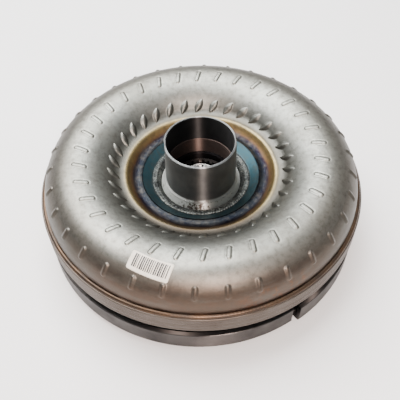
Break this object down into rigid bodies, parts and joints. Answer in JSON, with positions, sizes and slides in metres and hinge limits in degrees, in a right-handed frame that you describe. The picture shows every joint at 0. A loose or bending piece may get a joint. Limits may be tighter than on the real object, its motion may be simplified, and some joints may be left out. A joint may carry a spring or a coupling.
{
  "type": "torque converter",
  "caption": "Closed torque converter with lock-up clutch, dimpled impeller shell, pump drive hub, crank pilot and threaded flexplate lugs.",
  "frame": {"origin": "centre of the plane of the six flexplate boss faces, on the axis of rotation", "axes": "+Z along the axis of rotation, from the engine side to the tip of the pump drive hub; +Y away from the viewer, and one gap between lug plates at 57 degrees clockwise from +X"},
  "size_m": [0.2744, 0.2744, 0.1],
  "materials": {
    "shell_steel": "satin",
    "dark_steel": "satin",
    "bright_steel": "satin",
    "bronze": "satin",
    "alloy": "satin",
    "weld": "rough",
    "label_paper": "matte",
    "seal": "matte",
    "friction_paper": "matte"
  },
  "bodies": {
    "housing": {"impeller_shell": "shell_steel", "impeller_blades": "shell_steel", "impeller_core_ring": "shell_steel", "impeller_hub": "dark_steel", "hub_weld_bead": "weld", "hub_bushing": "bronze", "front_cover": "shell_steel", "girth_weld_bead": "weld", "pilot_boss": "bright_steel", "drive_lug_1": "dark_steel", "drive_lug_2": "dark_steel", "drive_lug_3": "dark_steel", "lug_bosses": "bright_steel", "lug_welds": "weld", "balance_weight": "bright_steel", "barcode_label": "label_paper", "hub_bearing_washer": "bright_steel"},
    "hub_bearing": {"hub_bearing_cage": "bronze", "hub_bearing_needles": "bright_steel"},
    "stator_race": {"stator_inner_race": "dark_steel", "clutch_plate_upper": "alloy", "clutch_plate_lower": "alloy", "stator_bearing_washer": "bright_steel", "race_bearing_washer": "bright_steel"},
    "stator": {"stator_wheel": "alloy", "clutch_outer_race": "dark_steel", "clutch_rollers": "bright_steel", "clutch_springs": "bright_steel"},
    "turbine_bearing": {"turbine_bearing_cage": "bronze", "turbine_bearing_needles": "bright_steel"},
    "turbine": {"turbine_hub": "dark_steel", "turbine_shell": "shell_steel", "turbine_blades": "shell_steel", "turbine_core_ring": "shell_steel", "turbine_rivets": "bright_steel", "driven_plate": "dark_steel", "piston_seal_ring": "seal", "cover_thrust_washer": "bronze", "turbine_bearing_washer": "bright_steel"},
    "damper": {"retainer_lower": "shell_steel", "retainer_upper": "shell_steel", "retainer_rivets": "bright_steel", "damper_springs": "dark_steel"},
    "lockup_piston": {"lockup_piston": "shell_steel", "friction_lining": "friction_paper"}
  },
  "joints": [
    {"name": "race_spin", "type": "hinge", "parent": "housing", "child": "stator_race", "pos_m": [0, 0, 0.035], "axis": [0, 0, 1], "continuous": true},
    {"name": "stator_freewheel", "type": "hinge", "parent": "stator_race", "child": "stator", "pos_m": [0, 0, 0.035], "axis": [0, 0, 1], "range_deg": [0, 360]},
    {"name": "turbine_spin", "type": "hinge", "parent": "stator_race", "child": "turbine", "pos_m": [0, 0, 0.03], "axis": [0, 0, 1], "continuous": true},
    {"name": "hub_bearing_spin", "type": "hinge", "parent": "housing", "child": "hub_bearing", "pos_m": [0, 0, 0.0457], "axis": [0, 0, 1], "continuous": true},
    {"name": "turbine_bearing_spin", "type": "hinge", "parent": "stator_race", "child": "turbine_bearing", "pos_m": [0, 0, 0.0241], "axis": [0, 0, 1], "continuous": true},
    {"name": "damper_twist", "type": "hinge", "parent": "turbine", "child": "damper", "pos_m": [0, 0, 0.0235], "axis": [0, 0, 1], "range_deg": [-7, 7], "stiffness_Nm_per_rad": 400, "deforming": ["damper_springs"]},
    {"name": "lockup_slide", "type": "slide", "parent": "damper", "child": "lockup_piston", "axis": [0, 0, 1], "range_m": [0, 0.0012]}
  ],
  "couplings": [
    {"joint": "hub_bearing_spin", "follows": "race_spin", "ratio": 0.5},
    {"joint": "turbine_bearing_spin", "follows": "turbine_spin", "ratio": 0.5}
  ]
}
